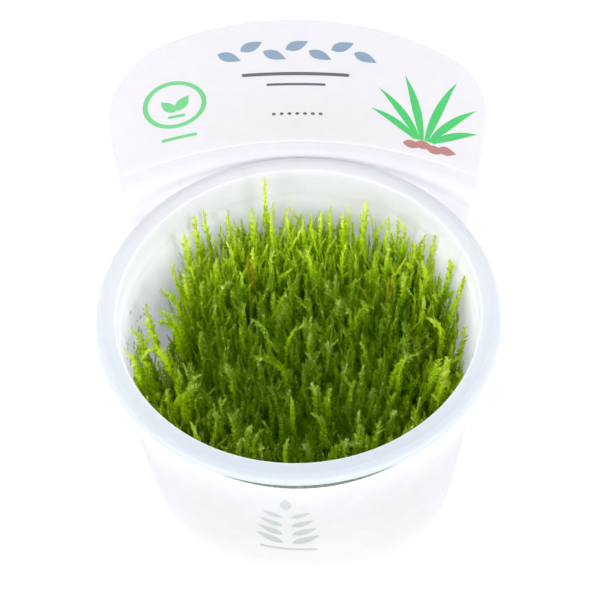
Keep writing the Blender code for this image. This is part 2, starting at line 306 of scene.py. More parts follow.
def object_place(tree):
    """The distances from the cup's axis, to the back and up, in metres."""
    place = add(tree, "ShaderNodeTexCoord").outputs["Object"]
    flat = add(tree, "ShaderNodeVectorMath", {0: place, 1: (1.0, 1.0, 0.0)}, operation="MULTIPLY")
    away = add(tree, "ShaderNodeVectorMath", {0: flat.outputs[0]}, operation="LENGTH").outputs[1]
    parts = add(tree, "ShaderNodeSeparateXYZ", {0: place}).outputs
    return away, parts[1], parts[2]


def cup_plastic():
    """Thin polypropylene: faintly blue, glossy and a little cloudy, and clearer below the step. Its collar,
    rim and skirt carry painted light and shade from front to back.
    """
    material, tree, shader = principled("cup_plastic", IOR=1.49)
    away, back, up = object_place(tree)
    cloud = ranged(tree, object_noise(tree, 45.0), 0.2, 0.8, smooth=True)
    wall = blended(tree, cloud, (0.86, 0.87, 0.89), (0.875, 0.885, 0.905))
    # Painted light and shade: the collar is painted lighter at the front and darker at the back.
    at_back = ranged(tree, back, 0.0, 0.8 * RIM_RADIUS)
    collar = blended(tree, at_back, (0.96, 0.96, 0.96), (0.84, 0.845, 0.86))
    over_step = ranged(tree, up, CUP_HEIGHT - 1.3 * STEP_DEPTH, CUP_HEIGHT - STEP_DEPTH)
    wall = blended(tree, over_step, wall, collar)
    # Painted light and shade: the rim is painted darker at the front and lighter at the back, where the tab
    # shades it, and the skirt a little so.
    towards_back = ranged(tree, back, -RIM_RADIUS, RIM_RADIUS)
    rim = blended(tree, towards_back, (0.69, 0.73, 0.775), (0.82, 0.825, 0.84))
    skirt = blended(tree, towards_back, (0.75, 0.79, 0.83), (0.79, 0.795, 0.81))
    at_edge = ranged(tree, away, RIM_RADIUS - LIP_THICKNESS, RIM_RADIUS - 0.2 * MM)
    rim = blended(tree, at_edge, rim, skirt)
    on_rim = ranged(tree, away, MOUTH_RADIUS + 0.05 * MM, MOUTH_RADIUS + 0.5 * MM)
    colour = blended(tree, on_rim, wall, rim)
    put(shader, "Base Color", colour)
    put(shader, "Roughness", ranged(tree, object_noise(tree, 60.0), 0.2, 0.8, 0.24, 0.32))
    put(shader, "Normal", bump(tree, object_noise(tree, 30.0, 1.0), 0.05, 0.3 * MM))
    milky = let_light_through(tree, 0.65, colour)
    below_collar = ranged(tree, up, CUP_HEIGHT - 8.5 * MM, CUP_HEIGHT - 7.5 * MM, 0.82, 0.0)
    clear_share = product(tree, below_collar, ranged(tree, back, -0.6 * RIM_RADIUS, 0.0, 1.0, 0.1))
    mix_in(tree, clear_share, milky, "ShaderNodeBsdfTransparent")
    return material


def card_finish(name, colour, round_cup=None, front=None):
    """Coated card: smooth, with the faint mottle and tooth of its fibres under the coat.

    Its colour is painted lighter round the cup than on the tab, a little darker high on the front and a
    little darker at the top of the tab, as painted light and shade, and more light comes through it round
    the cup and at the front.
    """
    material, tree, shader = principled(name)
    _, back, up = object_place(tree)
    # Painted light and shade: the card is painted lighter round the cup than on the tab, and a little
    # darker high on the front.
    in_front = ranged(tree, back, -0.9 * RIM_RADIUS, -0.4 * RIM_RADIUS, 1.0, 0.0)
    in_front = product(tree, in_front, ranged(tree, up, 22.0 * MM, 48.0 * MM))
    lower = blended(tree, in_front, round_cup or colour, front or colour)
    above = ranged(tree, up, CUP_HEIGHT - 5.0 * MM, CUP_HEIGHT + 2.5 * MM)
    card = blended(tree, above, lower, colour)
    mottle_and_shade = ranged(tree, object_noise(tree, 260.0, 4.0), 0.35, 0.65, 0.98, 1.0)
    # Painted shade: the top of the tab is painted a little darker, multiplied into the mottle.
    painted_top_shade = ranged(tree, up, CUP_HEIGHT + 20.0 * MM, CUP_HEIGHT + TAB_HEIGHT, 1.0, 0.95)
    mottle_and_shade = product(tree, mottle_and_shade, painted_top_shade)
    card = add(tree, "ShaderNodeVectorMath", {0: card, "Scale": mottle_and_shade}, operation="SCALE").outputs[0]
    put(shader, "Base Color", card)
    tooth = object_noise(tree, 3500.0, 2.0)
    put(shader, "Roughness", ranged(tree, tooth, 0.3, 0.7, 0.35, 0.46))
    put(shader, "Normal", bump(tree, tooth, 0.1, 0.02 * MM))
    let_light_through(tree, ranged(tree, above, 0.0, 1.0, 0.62, 0.12), card)
    return material


def gel_finish():
    """Set culture gel: clear, pale and wet, a little cloudy."""
    material, tree, shader = principled("growth_gel", Roughness=0.12, IOR=1.34, Transmission_Weight=0.5)
    cloud = object_noise(tree, 120.0, 4.0)
    put(shader, "Base Color", blended(tree, cloud, (0.78, 0.78, 0.62), (0.90, 0.89, 0.76)))
    put(shader, "Normal", bump(tree, object_noise(tree, 220.0), 0.3, 0.4 * MM))
    return material


def water_finish():
    """Clear drops, painted grey as painted shade so that they show as faint grey lenses on the wall."""
    material, tree, shader = principled("water_drop", Roughness=0.05, IOR=1.33)
    # Painted shade: the drops' grey varies at random.
    drop_shade = ranged(tree, object_noise(tree, 2000.0, 1.0), 0.3, 0.7)
    put(shader, "Base Color", blended(tree, drop_shade, (0.34, 0.38, 0.40), (0.60, 0.64, 0.66)))
    mix_in(tree, 0.6, shader.outputs[0], "ShaderNodeBsdfTransparent")
    return material


def moss_finish():
    """Moss leaves one cell thick, paler at the shoots' young tips and painted paler beside the white walls,
    as painted light.

    Leaves inside the mass and down the shafts are painted lighter, and the tips darker, to make up for the
    light that is lost on its way in and the light that falls on the tips.
    """
    material, tree, shader = principled("moss_leaf")
    wet = ranged(tree, object_noise(tree, 900.0, 1.0), 0.58, 0.66)
    put(shader, "Roughness", ranged(tree, wet, 0.0, 1.0, 0.6, 0.28))
    put(shader, "Specular IOR Level", ranged(tree, wet, 0.0, 1.0, 0.03, 0.5))
    put(shader, "Specular Tint", (0.70, 0.95, 0.40, 1.0))
    names = ("from_tip", "sunk", "shade", "age", "bright", "blade", "tint")
    marks = [add(tree, "ShaderNodeAttribute", attribute_name=name).outputs["Fac"] for name in names]
    from_tip, sunk, shade, age, bright, blade_share, tint = marks

    # Painted light and shade: the colour is painted paler deep in the mass and down the shafts, and darker
    # at the tips, where the light falls.
    deep = calculate(tree, "MAXIMUM", sunk, ranged(tree, from_tip, 1.0 * MM, 10.0 * MM, 0.0, 0.45))
    # Painted light: shoots that the white walls light are painted paler near their tips.
    lit = product(
        tree,
        ranged(tree, shade, 1.2, 1.7),
        calculate(tree, "SUBTRACT", 1.0, sunk),
        ranged(tree, from_tip, 4.0 * MM, 12.0 * MM, 1.0, 0.2),
    )
    young = ranged(tree, from_tip, 0.2 * MM, 7.0 * MM, 1.0, 0.0, smooth=True)
    young = product(tree, young, ranged(tree, bright, 0.0, 1.0, 0.12, 0.95))
    # Painted glints: a few leaves near the tips are painted pale.
    painted_glints = product(tree, ranged(tree, tint, 0.93, 0.95), 0.7)
    painted_glints = product(tree, painted_glints, ranged(tree, from_tip, 6.0 * MM, 12.0 * MM, 1.0, 0.0))
    colour = (0.115, 0.222, 0.001)
    # Each shoot's random tone, with painted light from the white walls added, pales the colour in the next
    # two steps.
    for share, other in (
        (deep, (0.53, 0.86, 0.001)),
        (ranged(tree, shade, 0.45, 1.0, 0.0, 0.8), (0.39, 0.56, 0.002)),
        (ranged(tree, shade, 0.9, 1.5), (0.78, 0.985, 0.003)),
        (lit, (0.95, 0.98, 0.16)),
        (young, (0.62, 0.80, 0.22)),
        (product(tree, blade_share, 0.3), (0.40, 0.60, 0.01)),
        (ranged(tree, tint, 0.0, 0.35, 0.6, 0.0), (0.11, 0.27, 0.001)),
        (ranged(tree, tint, 0.7, 1.0, 0.0, 0.6), (0.56, 0.80, 0.02)),
        (painted_glints, (0.82, 0.92, 0.40)),
        (age, (0.42, 0.36, 0.02)),
    ):
        colour = blended(tree, share, colour, other)
    put(shader, "Base Color", colour)
    let_light_through(tree, 0.6, colour)
    return material


def floor_finish():
    """A white light table, so that the ground stays plain."""
    glow = {"Emission_Color": (1.0, 1.0, 1.0, 1.0), "Emission_Strength": 0.74}
    return principled("light_table", Roughness=0.9, Base_Color=(0.2, 0.2, 0.2, 1.0), **glow)[0]


# Mesh helpers


def finished(name, mesh, materials, node=None):
    """Gives a piece its materials, links it, hangs it on the root and hides the imported part that it
    replaces.
    """
    for material in materials:
        mesh.materials.append(material)
    piece = linked(name, mesh)
    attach(piece, ROOT)
    if node:
        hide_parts(node)


def evaluated(obj):
    """The plain mesh that an object's modifiers make. The object itself is removed."""
    graph = bpy.context.evaluated_depsgraph_get()
    mesh = bpy.data.meshes.new_from_object(obj.evaluated_get(graph))
    bpy.data.objects.remove(obj)
    return mesh


def smooth_mesh(name, bm, sharp=None):
    mesh = bpy.data.meshes.new(name)
    bm.to_mesh(mesh)
    bm.free()
    mesh.shade_smooth()
    if sharp:
        mesh.set_sharp_from_angle(angle=sharp)
    return mesh


def linked(name, data):
    """A new object in the scene."""
    obj = bpy.data.objects.new(name, data)
    bpy.context.scene.collection.objects.link(obj)
    return obj


def rounded_profile(corners, steps=4):
    """A line through (radius, height, easing) corners, each cut back by its easing and rounded."""
    points = []
    for i, (radius, height, easing) in enumerate(corners):
        here = Vector((radius, height))
        if not easing:
            points.append(here)
            continue
        before = Vector(corners[i - 1][:2])
        after = Vector(corners[i + 1][:2])
        start = here + (before - here).normalized() * easing
        end = here + (after - here).normalized() * easing
        for step in range(steps + 1):
            share = step / steps
            points.append(start.lerp(here, share).lerp(here.lerp(end, share), share))
    return points


def turned(name, profile):
    """A closed mesh of revolution. The profile's first and last points lie on the axis."""
    bm = bmesh.new()
    verts = [bm.verts.new((radius, 0.0, height)) for radius, height in profile]
    edges = [bm.edges.new(pair) for pair in zip(verts, verts[1:])]
    spin = {"cent": (0.0, 0.0, 0.0), "axis": (0.0, 0.0, 1.0), "angle": math.tau}
    bmesh.ops.spin(bm, geom=verts + edges, steps=CUP_TURNS, use_merge=True, **spin)
    bmesh.ops.remove_doubles(bm, verts=bm.verts, dist=MERGE_DISTANCE)
    bmesh.ops.recalc_face_normals(bm, faces=bm.faces)
    return smooth_mesh(name, bm, sharp=SHARP_ANGLE)


# The cup and the gel


def inner_wall_radius(height):
    """The cup's inner radius at a height: a collar at the mouth, a step, then a long taper."""
    step_top = CUP_HEIGHT - STEP_DEPTH
    if height >= step_top:
        return MOUTH_RADIUS - COLLAR_TAPER * (CUP_HEIGHT - height)
    below_step = MOUTH_RADIUS - COLLAR_TAPER * STEP_DEPTH - STEP_WIDTH
    floor_radius = FOOT_RADIUS - WALL
    share = (height - FLOOR) / (step_top - FLOOR)
    return floor_radius + (below_step - floor_radius) * share


def make_cup():
    step_top = CUP_HEIGHT - STEP_DEPTH
    collar = inner_wall_radius(step_top)
    below_step = collar - STEP_WIDTH
    lip_under = CUP_HEIGHT - LIP_THICKNESS
    lip_foot = CUP_HEIGHT - LIP_EDGE_HEIGHT
    skirt = RIM_RADIUS - LIP_THICKNESS
    bead = 0.12 * MM
    corner = FLOOR + 1.2 * MM
    ease = 0.3 * MM
    profile = [
        (0.0, 0.0, 0.0),
        (FOOT_RADIUS, 0.0, 0.9 * MM),
        (below_step + WALL, step_top - 5.0 * STEP_WIDTH, ease),
        (collar + WALL, step_top - STEP_WIDTH, ease),
        (MOUTH_RADIUS + WALL, lip_under, 0.4 * MM),
        (skirt, lip_under, ease),
        (skirt, lip_foot, 0.1 * MM),
        (RIM_RADIUS, lip_foot, 0.2 * MM),
        (RIM_RADIUS, lip_foot + 2.0 * bead, 0.1 * MM),
        (RIM_RADIUS - bead, lip_foot + 3.5 * bead, 0.1 * MM),
        (RIM_RADIUS - bead, CUP_HEIGHT - 0.55 * MM, ease),
        (LIP_TOP_RADIUS + 0.9 * MM, CUP_HEIGHT - 0.12 * MM, 0.5 * MM),
        (LIP_TOP_RADIUS, CUP_HEIGHT - 0.05 * MM, 0.1 * MM),
        (LIP_TOP_RADIUS - 0.2 * MM, CUP_HEIGHT + 0.06 * MM, 0.1 * MM),
        (LIP_TOP_RADIUS - 0.5 * MM, CUP_HEIGHT, 0.1 * MM),
        (MOUTH_RADIUS, CUP_HEIGHT, 0.4 * MM),
        (collar, step_top, 0.8 * MM),
        (below_step, step_top - 4.0 * STEP_WIDTH, 0.8 * MM),
        (inner_wall_radius(corner), corner, ease),
        (inner_wall_radius(corner) - 1.2 * MM, FLOOR, ease),
        (0.0, FLOOR, 0.0),
    ]
    finished("cup", turned("cup", rounded_profile(profile)), [cup_plastic()], "cup")


def make_gel():
    foot = FLOOR + GAP
    corner = foot + 1.2 * MM
    reach = inner_wall_radius(corner) - GAP
    wall = inner_wall_radius(GEL_TOP) - GAP
    profile = [
        (0.0, foot, 0.0),
        (reach - 1.2 * MM, foot, 0.3 * MM),
        (reach, corner, 0.3 * MM),
        (wall, GEL_TOP, 0.1 * MM),
        (wall - 1.3 * MM, GEL_TOP - 0.9 * MM, 0.6 * MM),
        (0.0, GEL_TOP - 0.9 * MM, 0.0),
    ]
    mesh = turned("growth_gel", rounded_profile(profile))
    finished("growth_gel", mesh, [gel_finish()], "growth_gel")


# The sleeve


def sleeve_point(angle, height):
    """A point of the card round the cup. The angle runs from the back, towards +X."""
    share = height / CUP_HEIGHT
    radius = SLEEVE_FOOT_RADIUS + (SLEEVE_TOP_RADIUS - SLEEVE_FOOT_RADIUS) * share
    radius *= 1.0 - SLEEVE_OVAL * (1.0 - share) * math.sin(2.0 * angle)
    shift = SLEEVE_FOOT_SHIFT * (1.0 - share)
    return Vector((shift.x + radius * math.sin(angle), shift.y + radius * math.cos(angle), height))


class RolledTab:
    """Takes a place on the flat tab to its place in space, without stretching the card."""

    def __init__(self):
        below = -TAB_ROLL_RADIUS / TAB_ROLL_GROWTH
        self.apex = np.array((0.0, TAB_BACK + TAB_LEAN * below, below))
        section = np.linspace(-1.3, 1.3, 521)
        arc = np.stack(
            (
                TAB_ROLL_RADIUS * np.sin(section),
                TAB_BACK - TAB_ROLL_RADIUS + TAB_ROLL_RADIUS * np.cos(section),
                np.zeros_like(section),
            ),
            axis=-1,
        )
        rays = arc - self.apex
        lengths = np.linalg.norm(rays, axis=1)
        self.rays = rays / lengths[:, None]
        steps = np.linalg.norm(np.diff(self.rays, axis=0), axis=1)
        opened = np.concatenate(([0.0], np.cumsum(steps)))
        self.opened = opened - np.interp(0.0, section, opened)
        self.rim_distance = float(np.interp(0.0, section, lengths))

    def point(self, across, up):
        """Across runs from the tab's middle towards +X and up from the level of the rim."""
        rise = self.rim_distance + up
        distance = math.hypot(across, rise)
        opened = math.atan2(across, rise)
        ray = [float(np.interp(opened, self.opened, self.rays[:, axis])) for axis in range(3)]
        x, y, z = self.apex + distance * Vector(ray).normalized()
        turned_x = math.cos(TAB_TURN) * x + math.sin(TAB_TURN) * y
        turned_y = math.cos(TAB_TURN) * y - math.sin(TAB_TURN) * x
        return Vector((turned_x, turned_y, z + CUP_HEIGHT))


def tab_half(shoulder_radius, shoulder_height):
    """Half of the tab's cut top as (across, up): a round shoulder, then an arch up to the middle."""
    reach = TAB_HALF_WIDTH - shoulder_radius
    drop = TAB_HEIGHT - shoulder_height
    arch_radius = (reach**2 + drop**2 - shoulder_radius**2) / (2.0 * (drop - shoulder_radius))
    arch_centre = TAB_HEIGHT - arch_radius
    meet = math.atan2(reach, shoulder_height - arch_centre)
    half = []
    for i in range(SHOULDER_STEPS):
        turn = math.pi / 2 - (math.pi / 2 - meet) * i / SHOULDER_STEPS
        across = reach + shoulder_radius * math.sin(turn)
        half.append((across, shoulder_height + shoulder_radius * math.cos(turn)))
    for i in range(ARCH_STEPS):
        turn = meet * (1.0 - i / ARCH_STEPS)
        half.append((arch_radius * math.sin(turn), arch_centre + arch_radius * math.cos(turn)))
    return half


def tab_outline():
    """The tab's cut top as (across, up) from its left shoulder to its right one."""
    left = tab_half(LEFT_SHOULDER_RADIUS, LEFT_SHOULDER_HEIGHT)
    right = tab_half(RIGHT_SHOULDER_RADIUS, RIGHT_SHOULDER_HEIGHT)
    top = [(-across, up) for across, up in left] + [(0.0, TAB_HEIGHT)] + right[::-1]
    return [(across + TAB_OFFSET, up) for across, up in top]


def front_top(angle):
    """The height of the card's edge under the lip: lowest at the front, higher at the sides."""
    return CUP_HEIGHT - SLEEVE_FRONT_DEPTH + SLEEVE_SIDE_RISE * math.sin(angle) ** 2


def evenly(start, end, spacing):
    """Places from start to end, about a spacing apart."""
    count = max(2, round(abs(end - start) / spacing) + 1)
    return [float(place) for place in np.linspace(start, end, count)]


# Flat shapes of the print: each is a closed outline of (across, up) places on the card


def disc(x, y, radius, steps=40):
    turns = [math.tau * i / steps for i in range(steps)]
    return [(x + radius * math.cos(turn), y + radius * math.sin(turn)) for turn in turns]


def bar(x, y, width, height):
    """A bar with round ends, about its middle."""
    radius = height / 2.0
    reach = width / 2.0 - radius
    points = []
    for side in (1.0, -1.0):
        for i in range(9):
            turn = math.pi * i / 8 - math.pi / 2
            across = reach + radius * math.cos(turn)
            points.append((x + side * across, y + side * radius * math.sin(turn)))
    return points


def leaf(x, y, length, width, lean, steps=10):
    """A pointed leaf whose stalk end is at (x, y). It leans from upright towards +X, in degrees."""
    lean = math.radians(lean)
    right = []
    for i in range(steps + 1):
        share = i / steps
        right.append((0.5 * width * math.sin(math.pi * share**0.8), length * share))
    left = [(-side, along) for side, along in right[-2:0:-1]]
    points = []
    for side, along in right + left:
        across = side * math.cos(lean) + along * math.sin(lean)
        points.append((x + across, y + along * math.cos(lean) - side * math.sin(lean)))
    return points


def blade(x, y, length, width, lean, bend, steps=12):
    """A long narrow leaf that leans and then bends over, in degrees."""
    spine = [Vector((x, y))]
    ways = []
    for i in range(steps):
        turn = math.radians(lean + bend * (i / steps) ** 1.5)
        way = Vector((math.sin(turn), math.cos(turn)))
        ways.append(way)
        spine.append(spine[-1] + way * length / steps)
    ways.append(ways[-1])
    right = []
    left = []
    for i, (place, way) in enumerate(zip(spine, ways)):
        half = 0.5 * width * math.sin(math.pi * min(0.12 + 0.88 * i / steps, 1.0))
        side = Vector((way.y, -way.x)) * half
        right.append(tuple(place + side))
        left.append(tuple(place - side))
    return right[:-1] + [tuple(spine[-1])] + left[-2::-1]


def tab_print():
    """The card's printed motifs, as (finish, outline), bottom layer first. Places in millimetres."""
    motifs = [("scored_card", [(-49.6, 5.15), (46.6, 5.15), (46.6, 5.65), (-49.6, 5.65)])]
    for i in range(7):
        lean = 62.0 if i % 2 else 118.0
        motifs.append(("ink_slate", leaf(-20.5 + 5.6 * i, 39.6 + (i % 2) * 0.4, 6.4, 3.3, lean)))
    motifs.append(("ink_charcoal", bar(-1.5, 31.3, 27.0, 1.2)))
    motifs.append(("ink_charcoal", bar(-1.5, 27.4, 15.0, 0.9)))
    for i in range(7):
        motifs.append(("ink_charcoal", disc(-7.5 + 2.0 * i, 16.2, 0.55, 14)))
    motifs += [
        ("ink_mint", disc(-32.5, 24.0, 8.2)),
        ("sleeve_card", disc(-32.5, 24.0, 6.9)),
        ("ink_mint", leaf(-32.5, 21.4, 5.6, 2.9, -38.0)),
        ("ink_mint", leaf(-32.2, 21.8, 6.0, 3.1, 36.0)),
        ("ink_mint", bar(-32.4, 19.9, 4.6, 1.0)),
        ("ink_mint", bar(-32.4, 12.3, 9.5, 1.1)),
    ]
    for lean, bend, length in PRINTED_BLADES:
        motifs.append(("ink_fern", blade(31.5 + lean * 0.045, 11.4, length, 2.3, lean, bend)))
    for i in range(4):
        motifs.append(("ink_bark", leaf(26.0 + 3.1 * i, 9.2 + (i % 2) * 0.7, 5.2, 3.0, 90.0)))
    return motifs


def front_print():
    """The faint motif on the sleeve's front: a sprig of paired leaves."""
    shapes = []
    for i in range(4):
        for side in (-1.0, 1.0):
            shapes.append(leaf(side * 1.2, 26.0 + 5.2 * i, 9.0 - i, 3.4 - 0.4 * i, side * 56.0))
    shapes += [leaf(0.0, 46.4, 6.0, 3.0, 0.0), bar(0.0, 22.4, 16.0, 1.3)]
    return [("ink_faint", [(x + 5.0, y) for x, y in shape]) for shape in shapes]


def stepped(outline):
    """The outline with its long edges cut up, so that they can bend with the card."""
    points = []
    for (ax, ay), (bx, by) in zip(outline, outline[1:] + outline[:1]):
        steps = math.ceil(math.hypot(bx - ax, by - ay) / (CARD_GRID / MM))
        points += [(ax + (bx - ax) * i / steps, ay + (by - ay) * i / steps) for i in range(steps)]
    return points


def inside(place, outline):
    """True if a flat place is inside a closed outline."""
    x, y = place
    odd = False
    for (ax, ay), (bx, by) in zip(outline, outline[1:] + outline[:1]):
        if (ay > y) != (by > y) and x < ax + (y - ay) / (by - ay) * (bx - ax):
            odd = not odd
    return odd


def add_panel(bm, outline, motifs, extra, place):
    """Adds a flat card panel, cut into triangles along its print and bent by place(across, up)."""
    outlines = [outline] + [[(x * MM, y * MM) for x, y in stepped(shape)] for _, shape in motifs]
    points = []
    faces = []
    for shape in outlines:
        faces.append(list(range(len(points), len(points) + len(shape))))
        points += shape
    tree = kdtree.KDTree(len(points) + len(extra))
    for i, (x, y) in enumerate(points + extra):
        tree.insert((x, y, 0.0), i)
    tree.balance()
    low = np.min(outline, axis=0)
    high = np.max(outline, axis=0)
    points += extra
    for x in np.arange(low[0], high[0], CARD_GRID):
        for y in np.arange(low[1], high[1], CARD_GRID):
            if tree.find((x, y, 0.0))[2] > 0.55 * CARD_GRID and inside((x, y), outline):
                points.append((x, y))
    flat = [Vector((x / MM, y / MM)) for x, y in points]
    cut = geometry.delaunay_2d_cdt(flat, [], faces, 1, 1e-4, True)
    verts = [bm.verts.new(place(x * MM, y * MM)) for x, y in cut[0]]
    for corners, sources in zip(cut[2], cut[5]):
        if 0 not in sources:
            continue
        face = bm.faces.new([verts[i] for i in corners])
        top = max(sources)
        face.material_index = list(CARD_FINISHES).index(motifs[top - 1][0]) if top else 0


def add_grid(bm, columns):
    """Adds quads between columns of as many places."""
    verts = [[bm.verts.new(place) for place in column] for column in columns]
    for left, right in zip(verts, verts[1:]):
        for low_left, low_right, high_right, high_left in zip(left, right, right[1:], left[1:]):
            bm.faces.new((low_left, low_right, high_right, high_left))


def between(start, start_way, end, end_way, share):
    """A smooth curve from start to end that leaves and arrives along the given ways."""
    a, b = share, 1.0 - share
    return (
        start * (b * b * (1.0 + 2.0 * a))
        + start_way * (a * b * b)
        + end * (a * a * (1.0 + 2.0 * b))
        - end_way * (a * a * b)
    )


def bend_column(tab, across, angle):
    """The card from the slits' foot out past the rim, to where the tab is free."""
    start = sleeve_point(angle, SLIT_FOOT)
    start_way = (start - sleeve_point(angle, 0.0)) / SLIT_FOOT
    end = tab.point(across, TAB_FREE_FROM)
    end_way = (tab.point(across, TAB_FREE_FROM + MM) - end) / MM
    length = (end - start).length
    ways = (start, start_way * length, end, end_way * length)
    return [between(*ways, i / BEND_ROWS) for i in range(BEND_ROWS + 1)]


def on_tab(tab, across, up):
    """A place on the tab, with the scored crease pressed a little forwards."""
    here = tab.point(across, up)
    ridge = 0.1 * MM * math.exp(-(((up - CREASE) / CREASE_WIDTH) ** 2))
    if ridge > 0.001 * MM:
        sideways = tab.point(across + MM, up) - here
        upwards = tab.point(across, up + MM) - here
        here += sideways.cross(upwards).normalized() * ridge
    return here


def make_sleeve():
    tab = RolledTab()
    slit_radius = Vector(sleeve_point(0.0, SLIT_FOOT).xy).length
    left = TAB_OFFSET - TAB_HALF_WIDTH
    right = TAB_OFFSET + TAB_HALF_WIDTH
    columns = evenly(left, right, CARD_GRID)
    angles = [TAB_TURN + across / slit_radius for across in columns]
    slit = SLIT_WIDTH / slit_radius
    heights = evenly(0.0, SLIT_FOOT, 2.5 * CARD_GRID)

    bm = bmesh.new()
    ring = [angles[0] - slit] + angles + [angles[-1] + slit]
    add_grid(bm, [[sleeve_point(angle, height) for height in heights] for angle in ring])
    add_grid(bm, [bend_column(tab, across, angle) for across, angle in zip(columns, angles)])

    outline = [(across, TAB_FREE_FROM) for across in columns]
    outline += [(right, up) for up in evenly(TAB_FREE_FROM, RIGHT_SHOULDER_HEIGHT, CARD_GRID)[1:-1]]
    outline += tab_outline()[::-1]
    outline += [(left, up) for up in evenly(TAB_FREE_FROM, LEFT_SHOULDER_HEIGHT, CARD_GRID)[-2:0:-1]]
    rows = [CREASE + step * CREASE_WIDTH for step in (-2.2, -1.2, 0.0, 1.2, 2.2)]
    crease = [(across, up) for up in rows for across in columns[1:-1]]
    add_panel(bm, outline, tab_print(), crease, lambda across, up: on_tab(tab, across, up))

    start = ring[-1] - math.pi
    end = ring[0] + math.pi
    radius = SLEEVE_TOP_RADIUS

    def round_front(across, up):
        return sleeve_point(across / radius + math.pi, up)

    top = [(angle * radius, front_top(angle)) for angle in evenly(end, start, CARD_GRID / radius)]
    above = evenly(SLIT_FOOT, top[0][1], CARD_GRID)
    outline = [(across, 0.0) for across in evenly(start * radius, end * radius, CARD_GRID)]
    outline += [(end * radius, height) for height in heights[1:] + above[1:-1]]
    outline += top
    outline += [(start * radius, height) for height in (heights[1:] + above[1:-1])[::-1]]
    add_panel(bm, outline, front_print(), [], round_front)

    bmesh.ops.remove_doubles(bm, verts=bm.verts, dist=MERGE_DISTANCE)
    bmesh.ops.recalc_face_normals(bm, faces=bm.faces)
    sheet = linked("flat_card", smooth_mesh("flat_card", bm))
    thickness = sheet.modifiers.new("thickness", "SOLIDIFY")
    thickness.thickness = CARD
    thickness.offset = 0.0
    mesh = evaluated(sheet)
    for face in mesh.polygons:
        if face.normal.y > 0.0:
            face.material_index = 0
    mesh.set_sharp_from_angle(angle=SHARP_ANGLE)
    finishes = [card_finish(name, *colours) for name, colours in CARD_FINISHES.items()]
    finished("sleeve", mesh, finishes, "sleeve")


# The moss


def canopy_height(x, y):
    """The height that the shoots' tips reach: highest at the back, with a hollow at each side."""
    front_share = smoothstep(0.5 - y / CANOPY_RUN)
    depth = CANOPY_BACK_DEPTH + (CANOPY_FRONT_DEPTH - CANOPY_BACK_DEPTH) * front_share
    for hollow_x, hollow_y, width, more in HOLLOWS:
        away = ((x - hollow_x) ** 2 + (y - hollow_y) ** 2) / width**2
        depth += more * math.exp(-away)
    return CUP_HEIGHT - depth


def hollow_share(x, y):
    """How far a place is inside one of the thin patches at the sides, from 0 to 1."""
    return max(math.exp(-((x - hx) ** 2 + (y - hy) ** 2) / width**2) for hx, hy, width, _ in HOLLOWS)


def wall_light(x, y):
    """How much paler the moss at a place is painted, as painted light from the white walls beside and
    behind it.
    """
    beside = smoothstep((math.hypot(x, y) - 22.0 * MM) / (16.0 * MM))
    beside *= smoothstep((y + 32.0 * MM) / (14.0 * MM))
    return 0.7 * beside + 0.7 * smoothstep((y - 8.0 * MM) / (20.0 * MM))


def kept_in_cup(point):
    """The point, moved in if a leaf there would touch the wall."""
    room = inner_wall_radius(point.z) - LEAF_REACH
    away = point.xy.length
    if away > room:
        point.xy *= room / away
    return point


def over_rim(x, y, over):
    """The place at (x, y), this far over the level of the rim, all in millimetres."""
    return Vector((x * MM, y * MM, CUP_HEIGHT + over * MM))


def level_step(chance, millimetres):
    """A random step of up to this much along X and along Y."""
    return Vector((chance.uniform(-1.0, 1.0), chance.uniform(-1.0, 1.0), 0.0)) * millimetres * MM


def shoot_path(tip, chance, bend=0.0, droop=0.0):
    """A shoot's way up from the gel: a shaft with a slow sway, then a bend over to its tip."""
    rise = 1.2 * abs(bend) + 2.0 * droop + 4.0 * MM
    neck = tip + Vector((-bend, 0.0, droop - rise))
    hook = 0.45 + 0.5 * smoothstep(abs(bend) / (6.0 * MM))
    knee = neck + Vector((0.12 * bend, 0.0, hook * rise + 0.6 * droop))
    base = Vector((neck.x * 0.86, neck.y * 0.86, GEL_TOP - 1.5 * MM))
    base += level_step(chance, 3.0)
    sway = level_step(chance, 0.9)
    waves = chance.uniform(2.0, 3.5)
    path = []
    for i in range(SHAFT_POINTS):
        share = i / SHAFT_POINTS
        path.append(base.lerp(neck, share) + sway * math.sin(waves * math.pi * share) * (1.0 - share))
    for i in range(BEND_POINTS + 1):
        share = i / BEND_POINTS
        path.append(neck.lerp(knee, share).lerp(knee.lerp(tip, share), share))
    return [kept_in_cup(point) for point in path]


def side_shoot(path, chance, near_tip):
    """A short branch that leaves a shoot on one side and turns upwards."""
    last = len(path) - 2
    start = path[chance.randint(last - 3, last) if near_tip else chance.randint(last - 7, last - 2)]
    turn = chance.uniform(0.0, math.tau)
    way = Vector((math.cos(turn), math.sin(turn), chance.uniform(1.0, 2.2))).normalized()
    length = (chance.uniform(2.5, 5.0) if near_tip else chance.uniform(4.0, 8.0)) * MM
    points = []
    for i in range(6):
        share = i / 5
        lift = Vector((0.0, 0.0, 1.0)) * length * 0.3 * share**2
        points.append(kept_in_cup(start + way * length * share + lift))
    return points


def store(mesh, name, numbers):
    layer = mesh.attributes.new(name, "FLOAT", "POINT")
    layer.data.foreach_set("value", numbers)


